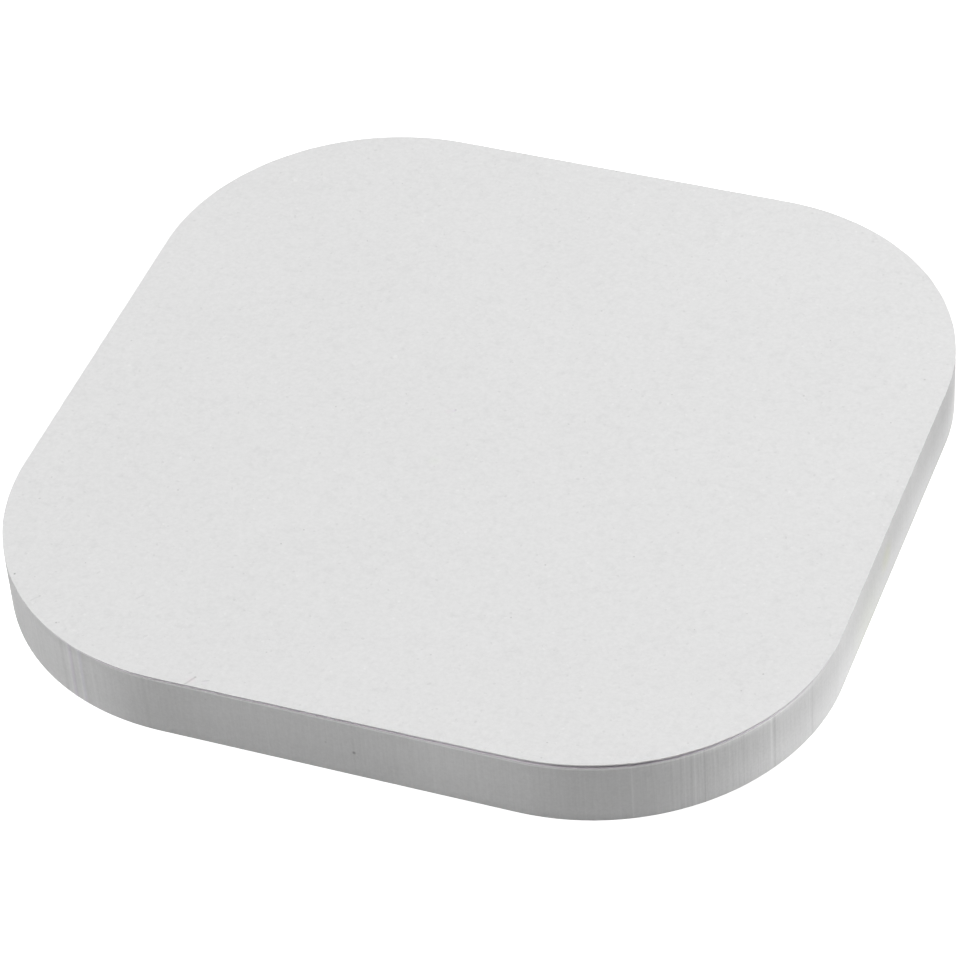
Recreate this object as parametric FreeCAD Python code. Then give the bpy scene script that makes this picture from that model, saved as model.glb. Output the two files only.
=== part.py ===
import FreeCAD, Part
import math
import os

# A square pad of sticky notes with large round corners, lying on its liner.
# Origin at the centre of the underside, +Z up, the front edge towards -Y.
# All lengths are in millimetres.

# Outline of every sheet
pad_width = 72.0
pad_depth = 72.0
corner_radius = 20.6

# Sheets, from the bottom up
liner_thickness = 0.1
note_thickness = 0.098
notes_in_block = 59

# The top note is glued at the back and curls up along its front, a little more towards the right.
# The bearing is in degrees from the front towards the right; the curl starts this far from the centre.
lift_height = 0.3
lift_start = 19.3
lift_bearing = 14.0

# Heights that follow from the sheets
block_bottom = liner_thickness
block_height = notes_in_block * note_thickness
block_top = block_bottom + block_height


def pad_prism(bottom, height):
    """The pad's outline, a rectangle with round corners, as a solid of some height."""
    corner = FreeCAD.Vector(-pad_width / 2, -pad_depth / 2, bottom)
    box = Part.makeBox(pad_width, pad_depth, height, corner)
    uprights = [edge for edge in box.Edges if is_upright(edge)]
    return box.makeFillet(corner_radius, uprights)


def is_upright(edge):
    direction = edge.Vertexes[1].Point - edge.Vertexes[0].Point
    return abs(direction.x) + abs(direction.y) < abs(direction.z) / 2


def outline_reach(bearing):
    """How far the outline reaches from its centre, along a bearing from the front to the right."""
    across = (pad_width / 2 - corner_radius) * math.sin(bearing)
    along = (pad_depth / 2 - corner_radius) * math.cos(bearing)
    return across + along + corner_radius


def curled_slab(underside):
    """A slab one note thick: flat at the back, then one large arc that rises towards the front."""
    bearing = math.radians(lift_bearing)
    towards_lift = FreeCAD.Vector(math.sin(bearing), -math.cos(bearing), 0)
    along_fold = FreeCAD.Vector(math.cos(bearing), math.sin(bearing), 0)
    half_size = math.hypot(pad_width, pad_depth) / 2

    run = outline_reach(bearing) - lift_start
    radius = (run ** 2 + lift_height ** 2) / (2 * lift_height)
    turn = math.asin((half_size - lift_start) / radius)

    def profile_point(distance, height):
        return towards_lift * distance + FreeCAD.Vector(0, 0, underside + height)

    def arc_point(arc_radius, angle):
        return profile_point(lift_start + arc_radius * math.sin(angle), radius - arc_radius * math.cos(angle))

    def rising_arc(arc_radius):
        points = [arc_point(arc_radius, turn * share) for share in (0, 0.5, 1)]
        return Part.Arc(*points).toShape()

    inner_radius = radius - note_thickness
    back_bottom = profile_point(-half_size, 0)
    back_top = profile_point(-half_size, note_thickness)
    edges = [
        Part.makeLine(back_bottom, arc_point(radius, 0)),
        rising_arc(radius),
        Part.makeLine(arc_point(radius, turn), arc_point(inner_radius, turn)),
        rising_arc(inner_radius),
        Part.makeLine(arc_point(inner_radius, 0), back_top),
        Part.makeLine(back_top, back_bottom),
    ]
    profile = Part.Face(Part.Wire(edges))
    profile.translate(along_fold * -half_size)
    return profile.extrude(along_fold * 2 * half_size)


def backing_liner():
    return pad_prism(0, liner_thickness)


def note_block():
    """All the notes below the top one, pressed together as one stack."""
    return pad_prism(block_bottom, block_height)


def top_note():
    space_above_block = 2 * (lift_height + note_thickness)
    return pad_prism(block_top, space_above_block).common(curled_slab(block_top))


sheets = {
    "backing_liner": backing_liner(),
    "note_block": note_block(),
    "top_note": top_note(),
}

os.makedirs("parts", exist_ok=True)
for node, shape in sheets.items():
    solid = shape.Solids[0]
    solid.exportStep("parts/" + node + ".step")
    box = solid.BoundBox
    print(node, "volume", round(solid.Volume, 1), "mm3, from", round(box.ZMin, 3), "to", round(box.ZMax, 3))
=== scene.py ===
import math
import random
import bmesh
import bpy
from mathutils import Matrix, Vector, noise


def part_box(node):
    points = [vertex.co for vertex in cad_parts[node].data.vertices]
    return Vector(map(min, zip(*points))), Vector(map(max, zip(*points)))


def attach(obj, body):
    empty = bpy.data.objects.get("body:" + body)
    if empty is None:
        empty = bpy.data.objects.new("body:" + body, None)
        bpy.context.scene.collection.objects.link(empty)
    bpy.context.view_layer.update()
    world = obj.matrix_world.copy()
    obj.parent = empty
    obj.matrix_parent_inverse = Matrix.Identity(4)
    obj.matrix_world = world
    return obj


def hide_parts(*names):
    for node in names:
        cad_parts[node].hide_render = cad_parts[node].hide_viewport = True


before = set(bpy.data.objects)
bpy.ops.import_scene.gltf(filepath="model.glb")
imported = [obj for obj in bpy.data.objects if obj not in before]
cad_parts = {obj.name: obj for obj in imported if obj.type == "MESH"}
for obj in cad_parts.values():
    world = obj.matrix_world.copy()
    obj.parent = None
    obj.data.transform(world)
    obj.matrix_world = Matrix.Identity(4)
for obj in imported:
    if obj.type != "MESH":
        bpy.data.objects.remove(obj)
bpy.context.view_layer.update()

# A pad of plain sticky notes with large round corners. The top note curls up along the front.
# X runs to the right, -Y to the front, Z up through the stack.

mm = 0.001
linerLow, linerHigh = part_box("backing_liner")
blockLow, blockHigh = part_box("note_block")
noteLow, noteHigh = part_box("top_note")
padSize = blockHigh - blockLow


# Outline of every sheet

padOutline = {
    "cornerRadius": 20.6 * mm,
    "cells": 128,  # grid cells along one side of a sheet
    "rounding": 0.0001,  # allowed for where a point is on the edge of a square with sides of 1
    "uprightLimit": 0.7,  # a face whose normal rises less than this is part of the cut side
}


# Camera

cameraPlace = {
    "bearing": 23.144,  # degrees from the front towards the right
    "height": 42.402,  # degrees above the table
    "roll": -4.428,
    "distance": 375.5 * mm,
    "sideways": -0.825 * mm,
    "upwards": -0.089 * mm,
    "lens": 164.54,
    "clipStart": 10 * mm,
}


# The way to something at a bearing from the front towards the right and a height, both in degrees
def wayTo(bearing, height):
    turn, rise = math.radians(bearing), math.radians(height)
    return Vector((math.sin(turn) * math.cos(rise), -math.cos(turn) * math.cos(rise), math.sin(rise)))


def makeCamera():
    back = wayTo(cameraPlace["bearing"], cameraPlace["height"])
    level = Vector((0, 0, 1)).cross(back).normalized()
    roll = Matrix.Rotation(math.radians(cameraPlace["roll"]), 3, back)
    right = roll @ level
    up = roll @ back.cross(level)
    camera = bpy.data.objects.new("photoCamera", bpy.data.cameras.new("photoCamera"))
    camera.data.lens = cameraPlace["lens"]
    camera.data.clip_start = cameraPlace["clipStart"]
    turned = Matrix((right, up, back)).transposed().to_4x4()
    place = back * cameraPlace["distance"] + right * cameraPlace["sideways"] + up * cameraPlace["upwards"]
    camera.matrix_world = Matrix.Translation(place) @ turned
    bpy.context.scene.collection.objects.link(camera)
    bpy.context.scene.camera = camera


makeCamera()
print("camera placed")


# Shader arithmetic

class Wire:
    # one output socket; arithmetic on it adds the maths nodes
    def __init__(self, tree, socket):
        self.tree = tree
        self.socket = socket

    def node(self, kind, settings, inputs, output=0):
        made = self.tree.nodes.new("ShaderNode" + kind)
        for name, value in settings.items():
            setattr(made, name, value)
        for name, value in inputs.items():
            if isinstance(value, Wire):
                self.tree.links.new(value.socket, made.inputs[name])
            else:
                made.inputs[name].default_value = value
        return Wire(self.tree, made.outputs[output])

    def maths(self, operation, *values):
        return self.node("Math", {"operation": operation}, dict(enumerate(values)))

    def __add__(self, other):
        return self.maths("ADD", self, other)

    def __radd__(self, other):
        return self.maths("ADD", other, self)

    def __sub__(self, other):
        return self.maths("SUBTRACT", self, other)

    def __rsub__(self, other):
        return self.maths("SUBTRACT", other, self)

    def __mul__(self, other):
        return self.maths("MULTIPLY", self, other)

    # 0 below low, 1 above high, eased between
    def rise(self, low, high):
        inputs = {"Value": self, "From Min": low, "From Max": high}
        return self.node("MapRange", {"interpolation_type": "SMOOTHSTEP"}, inputs)

    # fades in between the first two values and out between the last two
    def between(self, start, full, fade, end):
        return self.rise(start, full) - self.rise(fade, end)

    # 1 at a value, fading to 0 at this distance on either side
    def near(self, middle, width):
        return 1 - self.maths("ABSOLUTE", self - middle).rise(0, width)

    # this place turned and stretched; texture sizes below are per millimetre
    def mapped(self, scale, turn=(0, 0, 0), shift=(0, 0, 0)):
        inputs = {"Vector": self, "Scale": scale, "Rotation": turn, "Location": shift}
        return self.node("Mapping", {}, inputs)

    def noise(self, scale, detail=2.0, roughness=0.5):
        inputs = {"Vector": self, "Scale": scale, "Detail": detail, "Roughness": roughness}
        return self.node("TexNoise", {}, inputs)

    # 1 at a spot, fading to 0 at this distance from it
    def spot(self, centre, radius):
        distance = self.node("VectorMath", {"operation": "DISTANCE"}, {0: self, 1: centre}, output=1)
        return 1 - distance.rise(0, radius)

    # 1 along a line, fading to 0 at this distance from it
    def stroke(self, start, end, width):
        reach = Vector(end) - Vector(start)
        shorter = reach / reach.length_squared
        past = self.node("VectorMath", {"operation": "SUBTRACT"}, {0: self, 1: start})
        share = past.node("VectorMath", {"operation": "DOT_PRODUCT"}, {0: past, 1: shorter}, output=1)
        share = share.node("Clamp", {}, {"Value": share})
        near = share.node("VectorMath", {"operation": "SCALE"}, {0: reach, "Scale": share})
        return near.node("VectorMath", {"operation": "SUBTRACT"}, {0: past, 1: near}).spot((0, 0, 0), width)

    # a colour multiplied by a grey value
    def shade(self, grey):
        factors = self.node("CombineXYZ", {}, {"X": grey, "Y": grey, "Z": grey})
        return self.node("VectorMath", {"operation": "MULTIPLY"}, {0: self, 1: factors})


def newMaterial(name, settings):
    material = bpy.data.materials.new(name)
    material.use_nodes = True
    shader = material.node_tree.nodes["Principled BSDF"]
    shader.inputs["Roughness"].default_value = settings["roughness"]
    shader.inputs["Specular IOR Level"].default_value = settings["specular"]
    return material, shader


# Where a shaded point is, in millimetres
def objectPlace(shader):
    tree = shader.id_data
    place = tree.nodes.new("ShaderNodeTexCoord")
    return Wire(tree, place.outputs["Object"]).mapped((1 / mm, 1 / mm, 1 / mm))


# How far in from the pad's rim a place is, in millimetres
def rimDepth(place):
    radius = padOutline["cornerRadius"] / mm
    corner = (padSize.x / 2 / mm - radius, padSize.y / 2 / mm - radius, 0)
    folded = place.node("VectorMath", {"operation": "ABSOLUTE"}, {0: place.mapped((1, 1, 0))})
    past = folded.node("VectorMath", {"operation": "SUBTRACT"}, {0: folded, 1: corner})
    past = past.node("VectorMath", {"operation": "MAXIMUM"}, {0: past, 1: (0, 0, 0)})
    return radius - past.node("VectorMath", {"operation": "LENGTH"}, {0: past}, output=1)


def colourWire(tree, colour):
    paint = Wire(tree, tree.nodes.new("ShaderNodeRGB").outputs[0])
    paint.socket.default_value = colour
    return paint


def connect(shader, colour, tone, height, depth):
    tree = shader.id_data
    tree.links.new(colour.shade(tone).socket, shader.inputs["Base Color"])
    bump = height.node("Bump", {}, {"Height": height, "Distance": depth, "Strength": 1.0})
    tree.links.new(bump.socket, shader.inputs["Normal"])


# Paper seen flat: cloudy, felted with short fibres, with small dark specks

notePaper = {
    "colour": (0.794, 0.794, 0.794, 1),
    "roughness": 0.9,
    "specular": 0.2,
    "cloudSize": 9.0,  # mm
    "cloudDepth": 0.03,
    "clumpSize": 0.9,
    "clumpLimits": (0.52, 0.72),  # the noise that counts as a clump
    "clumpDepth": 0.03,
    "grainSize": 0.38,
    "grainRoughness": 0.7,
    "grainDepth": 0.145,
    "fibreLength": 1.4,
    "fibreWidth": 0.2,
    "fibreLimits": (0.58, 0.78),
    "fibreDepth": 0.016,
    "fibreTurns": (8, 47, 85, 128, 161),  # degrees
    "bendsPerMm": 0.6,  # of fibres and flecks
    "layerShift": (17, 5, 0),  # from one layer of fibres or flecks to the next
    "flecks": [
        # (spacing, largest radius, soft edge, share of them that show, how much darker)
        (3.6, 0.08, 0.03, 0.3, 0.22),
        (1.7, 0.14, 0.05, 0.8, 0.07),
        (2.2, 0.14, 0.05, 0.7, -0.055),
    ],
    "specks": [
        # (across, along, radius, how much darker)
        (31.3, -21.4, 0.13, 0.33),
        (33.8, 16.3, 0.16, 0.22),
        (9.9, -21.1, 0.12, 0.32),
        (24.6, 11.4, 0.13, 0.26),
        (-10.1, -16.3, 0.12, 0.31),
        (10.5, -14.5, 0.12, 0.31),
        (4.5, 17.1, 0.13, 0.24),
        (-33.6, 1.8, 0.12, 0.24),
        (-7.6, -30.6, 0.12, 0.24),
        (5.2, -27.0, 0.13, 0.19),
        (-3.2, 1.3, 0.16, 0.23),
        (-13.2, -1.2, 0.11, 0.29),
        (32.6, 10.2, 0.11, 0.30),
        (-22.1, -14.8, 0.10, 0.32),
        (17.6, -35.4, 0.13, 0.22),
        (-31.1, -28.1, 0.14, 0.60),
        (-25.4, -32.4, 0.14, 0.34),
        (-25.2, -32.3, 0.11, 0.20),
        (-12.0, -34.95, 0.14, 0.14),
        (30.2, -23.7, 0.11, 0.26),
        (28.0, -30.5, 0.12, 0.18),
        (-28.0, -29.9, 0.12, 0.15),
        (-12.9, -22.6, 0.12, 0.15),
        (-19.8, -27.35, 0.12, 0.08),
        (-14.3, -30.9, 0.22, 0.05),
        (-12.9, -30.7, 0.22, 0.05),
        (-12.1, -32.0, 0.13, -0.05),
        (-11.9, -31.7, 0.14, 0.05),
        (-10.9, -31.4, 0.14, -0.04),
    ],
    "hairs": [
        # (one end, other end, half width, how much darker)
        ((-12.53, -36.0, 0), (-12.0, -34.95, 0), 0.16, 0.19),
        ((-11.24, -35.2, 0), (-10.80, -35.0, 0), 0.12, 0.14),
        ((-28.50, -30.6, 0), (-28.0, -29.9, 0), 0.14, 0.07),
        ((-20.22, -27.85, 0), (-19.85, -27.35, 0), 0.14, 0.09),
    ],
    "stains": [
        # (across, along, radius, colour it is multiplied by)
        (-3.3, 1.2, 0.25, (1.0, 0.97, 1.03, 1)),
        (-3.7, 1.0, 0.5, (1.01, 0.985, 1.0, 1)),
        (-2.7, -5.2, 0.8, (0.995, 1.01, 0.985, 1)),
        (-12.2, -35.4, 0.6, (1.02, 0.975, 0.99, 1)),
        (-11.0, -35.3, 0.4, (1.0, 0.985, 1.01, 1)),
    ],
    "bump": 0.006 * mm,
}

# The face of the stack, seen only down the gap under the top note's lifted edge. Painted light: its paper
# is paler than the notes' own, so the shade down the gap comes out lighter
stackFacePaintedPaler = dict(
    notePaper,
    colour=(0.93, 0.93, 0.93, 1),
    specks=[],
    hairs=[],
    stains=[],
    # this many millimetres in from the rim, and the colour it is multiplied by
    rimTint=(0.9, (1.03, 0.965, 1.045, 1)),
)


def paperTone(place, paper):
    flat = place.mapped((1, 1, 0))
    clouds = place.noise(1 / paper["cloudSize"], detail=3) - 0.5
    clumps = place.noise(1 / paper["clumpSize"], detail=3).rise(*paper["clumpLimits"])
    grain = place.noise(1 / paper["grainSize"], roughness=paper["grainRoughness"]) - 0.5
    bends = {"Vector": place, "Scale": paper["bendsPerMm"], "Detail": 1.0}
    wander = place.node("TexNoise", {}, bends, output=1)
    bent = place.node("VectorMath", {"operation": "ADD"}, {0: place, 1: wander})
    stretch = (1 / paper["fibreLength"], 1 / paper["fibreWidth"], 1)
    fibres = 0.0
    for count, turn in enumerate(paper["fibreTurns"]):
        shift = Vector(paper["layerShift"]) * count
        along = bent.mapped((1, 1, 1), (0, 0, math.radians(turn)), shift).mapped(stretch)
        fibres = fibres + along.noise(1.0, detail=1).rise(*paper["fibreLimits"])
    tone = 1 + clouds * paper["cloudDepth"] - clumps * paper["clumpDepth"] + grain * paper["grainDepth"]
    tone = tone - fibres * paper["fibreDepth"]
    for count, (spacing, radius, softness, share, depth) in enumerate(paper["flecks"]):
        shift = Vector(paper["layerShift"]) * count
        cells = {"Vector": bent.mapped((1, 1, 1), shift=shift), "Scale": 1 / spacing}
        distance = place.node("TexVoronoi", {"voronoi_dimensions": "2D"}, cells) * spacing
        tint = place.node("TexVoronoi", {"voronoi_dimensions": "2D"}, cells, output=1)
        size = tint.node("SeparateColor", {}, {"Color": tint}).rise(1 - share, 1.0) * radius
        tone = tone - (size - distance).rise(0.0, softness) * depth
    for across, along, radius, depth in paper["specks"]:
        tone = tone - flat.spot((across, along, 0), radius) * depth
    for start, end, width, depth in paper["hairs"]:
        tone = tone - flat.stroke(start, end, width) * depth
    return tone, grain


# A colour multiplied by another where the mask is 1
def tinted(colour, mask, tint):
    settings = {"data_type": "RGBA", "blend_type": "MULTIPLY"}
    return mask.node("Mix", settings, {0: mask, 6: colour, 7: tint}, output=2)


def makePaper(name, paper):
    material, shader = newMaterial(name, paper)
    place = objectPlace(shader)
    tone, height = paperTone(place, paper)
    colour = colourWire(shader.id_data, paper["colour"])
    flat = place.mapped((1, 1, 0))
    for across, along, radius, stain in paper["stains"]:
        colour = tinted(colour, flat.spot((across, along, 0), radius), stain)
    if "rimTint" in paper:
        width, tint = paper["rimTint"]
        colour = tinted(colour, 1 - rimDepth(place).rise(0, width), tint)
    connect(shader, colour, tone, height, paper["bump"])
    return material


# The cut side: the cutter drags fine upright streaks down the stack.
# Its own map runs along the rim from the front's middle to the right, and up, in millimetres.

cutEdge = {
    # painted shade: darker than the paper it is cut from, so the upright sides come out darker than the top
    "colour": (0.622, 0.622, 0.622, 1),
    "roughness": 0.85,
    "specular": 0.2,
    "streakWidth": 0.18,  # mm
    "streakDepth": 0.13,
    "streakSquash": 0.03,  # of the height, so that a streak runs all the way up
    "grainRoughness": 0.6,  # of the streaks too
    # the cutter dragged harder round the right front corner: between these runs, and how much
    "dragRuns": (24, 28, 33, 40),
    "dragGain": 0.8,
    "broadWidth": 3.0,
    "broadDepth": 0.04,
    "grainSize": 0.26,
    "grainDepth": 0.18,
    "bump": 0.01 * mm,
    "paintedFootLight": [
        # painted light: paler towards the table, standing in for light from the table: (up to this height,
        # how much, runs between which it fades in and out)
        (4.5, 0.24, (25, 38, 80, 105)),
        (2.2, 0.06, (-30, -22, 20, 36)),
    ],
    "streaksAndPaintedShade": [
        # (run along the rim, half width, how much darker); the broad ones, half width 5 and up, are painted
        # shade and light for how the light falls round the rim, the narrow ones are streaks left by the
        # cutter
        (-38.0, 9.0, 0.12),
        (-31.0, 9.0, 0.11),
        (-15.5, 7.0, 0.06),
        (9.5, 6.0, -0.06),
        (27.5, 9.0, -0.14),
        (37.0, 5.0, -0.05),
        (66.0, 24.0, 0.16),
        (79.0, 12.0, 0.17),
        (-24.7, 0.30, 0.07),
        (-23.95, 0.22, -0.07),
        (-23.5, 0.28, 0.10),
        (-22.75, 0.22, -0.08),
        (-22.15, 0.50, 0.05),
        (-21.3, 0.30, -0.03),
        (-16.2, 0.30, 0.04),
        (-5.7, 0.20, -0.04),
        (1.8, 0.15, 0.03),
        (8.6, 0.20, -0.03),
        (23.8, 0.15, -0.04),
        (24.8, 0.13, -0.08),
        (28.1, 0.12, -0.05),
        (28.75, 0.20, 0.06),
        (29.05, 0.12, -0.07),
        (29.6, 0.15, 0.05),
        (29.9, 0.13, -0.10),
        (30.3, 0.13, -0.07),
        (30.7, 0.14, 0.11),
        (31.6, 0.14, -0.06),
        (32.95, 0.17, -0.07),
        (34.25, 0.14, 0.05),
        (37.05, 0.17, -0.09),
        (37.4, 0.20, 0.14),
        (38.15, 0.17, -0.05),
        (41.7, 0.14, -0.04),
        (42.1, 0.18, 0.09),
    ],
    # painted highlight: where the top note is lifted, its edge and the topmost notes under it are painted
    # lighter, as where they catch the light; the ones that darken are painted shade under the lifted edge
    # and the rim
    "paintedLitAndShadedLevels": [
        # (height, half width, how much lighter, runs between which it fades in and out); below 0 it is
        # painted shade
        (5.76, 0.15, 0.28, (-23, -14, 39, 45)),
        (5.60, 0.35, 0.13, (27, 32, 40, 46)),
        (6.14, 0.20, 0.42, (-4, 14, 26, 32)),
        # painted shade under the lifted edge
        (5.98, 0.12, -0.20, (30, 34, 40, 44)),
        # painted shade beneath the rim at the front left corner
        (5.50, 0.60, -0.05, (-31, -26, -22, -18)),
    ],
    "tintedStreaks": [
        # (run along the rim, half width, colour it is multiplied by)
        (-23.65, 0.35, (1.02, 0.985, 1.05, 1)),
        (-22.5, 0.30, (1.0, 0.99, 1.04, 1)),
    ],
    "stains": [
        # (run, height, radius, colour it is multiplied by)
        (60.4, 3.2, 2.0, (1.0, 1.01, 0.90, 1)),
        (55.0, 0.6, 6.0, (1.0, 1.01, 0.97, 1)),
    ],
    "specks": [
        # (run, height, radius, how much darker)
        (1.8, 2.6, 0.24, 0.50),
        (2.05, 2.2, 0.14, 0.12),
        (-0.6, 3.1, 0.14, 0.24),
        (-10.8, 4.9, 0.16, 0.12),
        (-14.0, 5.0, 0.15, 0.10),
        (26.0, 4.7, 0.6, 0.06),
    ],
}


def makeCutEdge():
    material, shader = newMaterial("cutEdge", cutEdge)
    tree = shader.id_data
    rim = Wire(tree, tree.nodes.new("ShaderNodeUVMap").outputs["UV"])
    rim.socket.node.uv_map = "rim"
    run = rim.node("SeparateXYZ", {}, {"Vector": rim})
    height = rim.node("SeparateXYZ", {}, {"Vector": rim}, output=1)
    place = objectPlace(shader)
    upright = place.mapped((1, 1, cutEdge["streakSquash"]))
    fine = upright.noise(1 / cutEdge["streakWidth"], roughness=cutEdge["grainRoughness"]) - 0.5
    broad = upright.noise(1 / cutEdge["broadWidth"]) - 0.5
    grain = place.noise(1 / cutEdge["grainSize"], roughness=cutEdge["grainRoughness"]) - 0.5
    drag = 1 + run.between(*cutEdge["dragRuns"]) * cutEdge["dragGain"]
    tone = 1 + fine * drag * cutEdge["streakDepth"]
    tone = tone + broad * cutEdge["broadDepth"] + grain * cutEdge["grainDepth"]
    # painted shade and light round the rim, and the cutter's streaks
    for middle, width, depth in cutEdge["streaksAndPaintedShade"]:
        tone = tone - run.near(middle, width) * depth
    for middle, level, radius, depth in cutEdge["specks"]:
        tone = tone - rim.spot((middle, level, 0), radius) * depth
    for level, width, gain, runs in cutEdge["paintedLitAndShadedLevels"]:
        tone = tone + run.between(*runs) * height.near(level, width) * gain
    # painted light at the foot of the cut side
    for top, gain, runs in cutEdge["paintedFootLight"]:
        tone = tone + run.between(*runs) * (1 - height.rise(0, top)) * gain
    colour = colourWire(tree, cutEdge["colour"])
    for middle, width, stain in cutEdge["tintedStreaks"]:
        colour = tinted(colour, run.near(middle, width), stain)
    for middle, level, radius, stain in cutEdge["stains"]:
        colour = tinted(colour, rim.spot((middle, level, 0), radius), stain)
    connect(shader, colour, tone, fine + grain, cutEdge["bump"])
    return material


# Liner: smooth coated paper with a slight sheen

linerPaper = dict(
    notePaper,
    colour=(0.78, 0.78, 0.76, 1),
    roughness=0.42,
    specular=0.4,
    grainDepth=0.05,
    fibreDepth=0.008,
    flecks=[],
    specks=[],
    hairs=[],
    stains=[],
    bump=0.002 * mm,
)


paperMaterial = makePaper("notePaper", notePaper)
stackMaterial = makePaper("stackFacePaintedPaler", stackFacePaintedPaler)
linerMaterial = makePaper("linerPaper", linerPaper)
edgeMaterial = makeCutEdge()
print("materials made")


# The place on the rim for a share of the way round from the front's middle
def rimPlace(share):
    radius = padOutline["cornerRadius"]
    sides = [padSize.x - 2 * radius, padSize.y - 2 * radius] * 2
    arc = radius * math.pi / 2
    run = (share % 1) * (sum(sides) + 4 * arc) + sides[0] / 2
    for quarter in range(5):
        side = sides[quarter % 4]
        reach = sides[(quarter + 1) % 4] / 2 + radius
        angle = min(max(run - side, 0) / radius, math.pi / 2)
        out = Vector((math.sin(angle), -math.cos(angle)))
        along = min(run, side) - side / 2
        if run < side + arc:
            break
        run -= side + arc
    turn = Matrix.Rotation(quarter * math.pi / 2, 2)
    return turn @ (Vector((along, radius - reach)) + out * radius)


# A flat sheet of even square cells, drawn out to the pad's outline
def sheetGrid(bm, cells, height):
    verts = bmesh.ops.create_grid(bm, x_segments=cells, y_segments=cells, size=0.5)["verts"]
    for vert in verts:
        ring = 2 * max(abs(vert.co.x), abs(vert.co.y))
        if ring < padOutline["rounding"]:
            place = Vector((0, 0))
        else:
            place = rimPlace(squareShare(vert.co.x / ring, vert.co.y / ring)) * ring
        vert.co = (place.x, place.y, height)


# How far round a unit square a point of its edge is, as a share of the way from the front's middle
def squareShare(x, y):
    side = 0.5 - padOutline["rounding"]
    if y < -side:
        return x / 4
    if x > side:
        return 0.25 + y / 4
    if y > side:
        return 0.5 - x / 4
    return 0.75 - y / 4


# The way out of the pad at a place on its rim, and the run along the rim from the front's middle
def rimRun(place):
    radius = padOutline["cornerRadius"]
    corner = Vector((padSize.x / 2 - radius, padSize.y / 2 - radius))
    core = Vector((min(abs(place.x), corner.x), min(max(place.y, -corner.y), corner.y)))
    out = (Vector((abs(place.x), place.y)) - core).normalized()
    run = radius * math.atan2(out.x, -out.y) + core.x
    if core.x == corner.x:
        run += core.y + corner.y
    elif core.y == corner.y:
        run += 2 * (corner.x - core.x) + 2 * corner.y
    return Vector((math.copysign(out.x, place.x), out.y)), run


# Sheet on the flat faces and cut edge on the upright ones, with a crisp rim between them
def dressFaces(bm):
    rim = bm.loops.layers.uv.new("rim")
    bmesh.ops.recalc_face_normals(bm, faces=bm.faces[:])
    for face in bm.faces:
        face.smooth = True
        if abs(face.normal.z) < padOutline["uprightLimit"]:
            face.material_index = 1
            half = math.copysign(1, face.calc_center_median().x)
            for loop in face.loops:
                loop[rim].uv = (half * rimRun(loop.vert.co)[1] / mm, loop.vert.co.z / mm)
    for edge in bm.edges:
        edge.smooth = len({face.material_index for face in edge.link_faces}) == 1


def addPiece(name, bm, materials, node):
    mesh = bpy.data.meshes.new(name)
    bm.to_mesh(mesh)
    bm.free()
    for material in materials:
        mesh.materials.append(material)
    piece = bpy.data.objects.new(name, mesh)
    bpy.context.scene.collection.objects.link(piece)
    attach(piece, "root")
    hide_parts(node)
    print(name, len(mesh.polygons), "faces")


# A sheet of some thickness
def thickSheet(cells, low, high):
    bm = bmesh.new()
    sheetGrid(bm, cells, low)
    raised = bmesh.ops.extrude_face_region(bm, geom=bm.faces[:])["geom"]
    raisedVerts = [part for part in raised if isinstance(part, bmesh.types.BMVert)]
    bmesh.ops.translate(bm, verts=raisedVerts, vec=(0, 0, high - low))
    bm.normal_update()
    return bm


# Top note

topNote = {
    "lift": 0.3 * mm,
    "liftBearing": 14.0,  # degrees from the front towards the right
    "liftStart": 19.3 * mm,
    "waver": 0.03 * mm,  # of its cut rim
    "waverLength": 1.1 * mm,
}


def curl(place):
    bearing = math.radians(topNote["liftBearing"])
    towards = Vector((math.sin(bearing), -math.cos(bearing)))
    radius = padOutline["cornerRadius"]
    corner = Vector((padSize.x / 2 - radius, radius - padSize.y / 2))
    reach = towards.dot(corner) + radius
    run = (towards.dot(place.xy) - topNote["liftStart"]) / (reach - topNote["liftStart"])
    return topNote["lift"] * max(run, 0) ** 2


def makeTopNote():
    bm = thickSheet(padOutline["cells"], noteLow.z, noteHigh.z - topNote["lift"])
    for vert in bm.verts:
        if any(abs(face.normal.z) < padOutline["uprightLimit"] for face in vert.link_faces):
            waver = noise.noise(vert.co.xy.to_3d() / topNote["waverLength"])
            vert.co.xy += rimRun(vert.co)[0] * waver * topNote["waver"]
        vert.co.z += curl(vert.co)
    dressFaces(bm)
    addPiece("curledNote", bm, [paperMaterial, edgeMaterial], "top_note")


# Stack of notes

noteStack = {
    "notes": 59,
    "seamDepth": 0.007 * mm,
    "slip": 0.008 * mm,
    "waver": 0.012 * mm,
    "waversPerMm": (0.8, 0.8, 0.08),
    "seed": 11,
}


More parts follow.
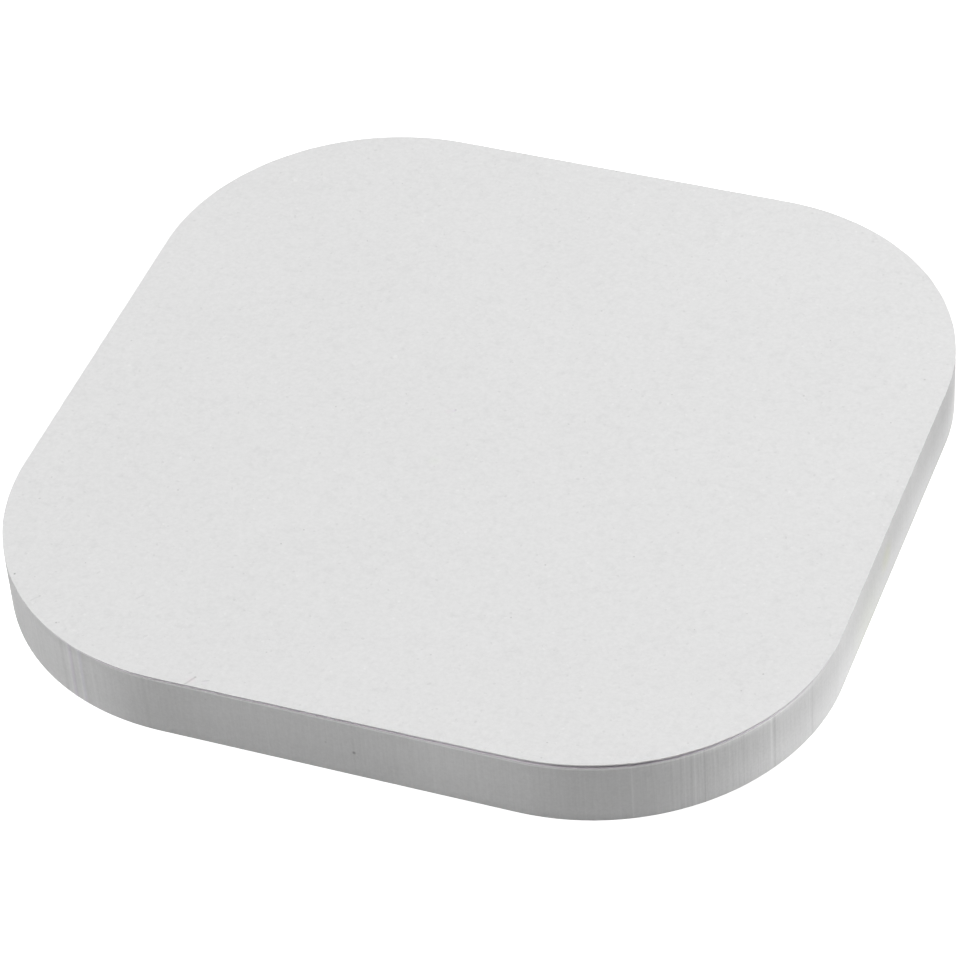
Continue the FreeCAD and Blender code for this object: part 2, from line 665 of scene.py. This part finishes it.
def makeNoteStack():
    draw = random.Random(noteStack["seed"])
    slips = [draw.uniform(-1, 1) * noteStack["slip"] for _ in range(noteStack["notes"])]
    bm = bmesh.new()
    bmesh.ops.create_circle(bm, cap_ends=True, segments=4 * padOutline["cells"], radius=1)
    for vert in bm.verts:
        share = math.atan2(vert.co.x, -vert.co.y) / (2 * math.pi)
        place = rimPlace(share)
        vert.co = (place.x, place.y, blockLow.z)
    top = list(bm.faces)
    step = Vector((0, 0, (blockHigh.z - blockLow.z) / noteStack["notes"] / 2))
    # with its edges given too, each old top is deleted as the next layer rises from it
    for _ in range(2 * noteStack["notes"]):
        raised = bmesh.ops.extrude_face_region(bm, geom=top + top[0].edges[:])["geom"]
        top = [part for part in raised if isinstance(part, bmesh.types.BMFace)]
        bmesh.ops.translate(bm, verts=top[0].verts, vec=step)
    for vert in bm.verts:
        level = round((vert.co.z - blockLow.z) / step.z)
        push = -noteStack["seamDepth"] if level % 2 == 0 else slips[level // 2]
        waver = noise.noise(vert.co * Vector(noteStack["waversPerMm"]) / mm)
        vert.co.xy += rimRun(vert.co)[0] * (push + waver * noteStack["waver"])
    dressFaces(bm)
    addPiece("noteStack", bm, [stackMaterial, edgeMaterial], "note_block")


# Liner

def makeLiner():
    bm = thickSheet(padOutline["cells"] // 2, linerLow.z, linerHigh.z)
    dressFaces(bm)
    addPiece("liner", bm, [linerMaterial, edgeMaterial], "backing_liner")


makeTopNote()
makeNoteStack()
makeLiner()
print("pad built")


# Studio: a pale table that the camera sees as white, and soft lamps

tableTop = {
    "colour": (0.8, 0.8, 0.8, 1),
    "roughness": 0.9,
    "specular": 0.1,
    "size": 1.0,
    "drop": 0.02 * mm,  # below the liner, clear of its face
    "glow": 0.7,  # for rays from the camera, mirrors and glass
    "clearFrom": (0.02, 0.08),  # mm in from the pad's rim, where the table under it turns clear
}

studio = {
    "lightFromBelow": 0.95,
    "horizonBlur": (-0.1, 0.0),  # where the light from below fades out
    "lamps": {
        # name: (bearing from the front to the right, height above the table, distance, watts)
        "rightHigh": (105, 42, 0.7, 1.52),
        "rightLow": (120, 22, 0.7, 2.88),
        "leftBack": (-100, 42, 1.2, 3.49),
        "leftFront": (-60, 42, 1.2, 8.80),
    },
    "lampSpread": 0.44,  # a lamp's size as a share of its distance
}


# 1 for rays from the camera, from mirrors and through glass
def seenDirectly(tree):
    rays = tree.nodes.new("ShaderNodeLightPath")
    names = ("Is Camera Ray", "Is Glossy Ray", "Is Transmission Ray")
    camera, glossy, glass = [Wire(tree, rays.outputs[name]) for name in names]
    return camera.maths("MAXIMUM", camera.maths("MAXIMUM", camera, glossy), glass)


def makeTable():
    bm = bmesh.new()
    bmesh.ops.create_grid(bm, x_segments=2, y_segments=2, size=tableTop["size"] / 2)
    bmesh.ops.translate(bm, verts=bm.verts[:], vec=(0, 0, -tableTop["drop"]))
    mesh = bpy.data.meshes.new("table")
    bm.to_mesh(mesh)
    bm.free()
    table = bpy.data.objects.new("table", mesh)
    bpy.context.scene.collection.objects.link(table)
    material, shader = newMaterial("tableTop", tableTop)
    shader.inputs["Base Color"].default_value = tableTop["colour"]
    tree = material.node_tree
    glow = seenDirectly(tree) * tableTop["glow"]
    tree.links.new(glow.socket, shader.inputs["Emission Color"])
    shader.inputs["Emission Strength"].default_value = 1.0
    # clear from below and under the pad, so that the underside can be seen and lit
    fromBelow = Wire(tree, tree.nodes.new("ShaderNodeNewGeometry").outputs["Backfacing"])
    underPad = rimDepth(objectPlace(shader)).rise(*tableTop["clearFrom"])
    paint = Wire(tree, shader.outputs["BSDF"])
    clear = paint.node("BsdfTransparent", {}, {})
    mask = fromBelow.maths("MAXIMUM", fromBelow, underPad)
    surface = paint.node("MixShader", {}, {0: mask, 1: paint, 2: clear})
    tree.links.new(surface.socket, tree.nodes["Material Output"].inputs["Surface"])
    mesh.materials.append(material)


def makeLamp(name, bearing, height, distance, watts):
    away = wayTo(bearing, height)
    lamp = bpy.data.lights.new(name, "AREA")
    lamp.shape = "SQUARE"
    lamp.size = distance * studio["lampSpread"]
    lamp.energy = watts
    holder = bpy.data.objects.new(name, lamp)
    facing = away.to_track_quat("Z", "Y").to_matrix().to_4x4()
    holder.matrix_world = Matrix.Translation(away * distance) @ facing
    bpy.context.scene.collection.objects.link(holder)


# White to the camera, and a little light from below the table for the underside
def makeWorld():
    world = bpy.data.worlds.new("studioWorld")
    world.use_nodes = True
    tree = world.node_tree
    background = tree.nodes["Background"]
    background.inputs["Color"].default_value = (1, 1, 1, 1)
    direction = Wire(tree, tree.nodes.new("ShaderNodeTexCoord").outputs["Generated"])
    upward = direction.node("SeparateXYZ", {}, {"Vector": direction}, output=2)
    below = (1 - upward.rise(*studio["horizonBlur"])) * studio["lightFromBelow"]
    strength = below.maths("MAXIMUM", below, seenDirectly(tree))
    tree.links.new(strength.socket, background.inputs["Strength"])
    bpy.context.scene.world = world


def makeStudio():
    makeTable()
    for name, settings in studio["lamps"].items():
        makeLamp(name, *settings)
    makeWorld()
    bpy.context.scene.view_settings.view_transform = "Standard"


makeStudio()
print("studio lit")
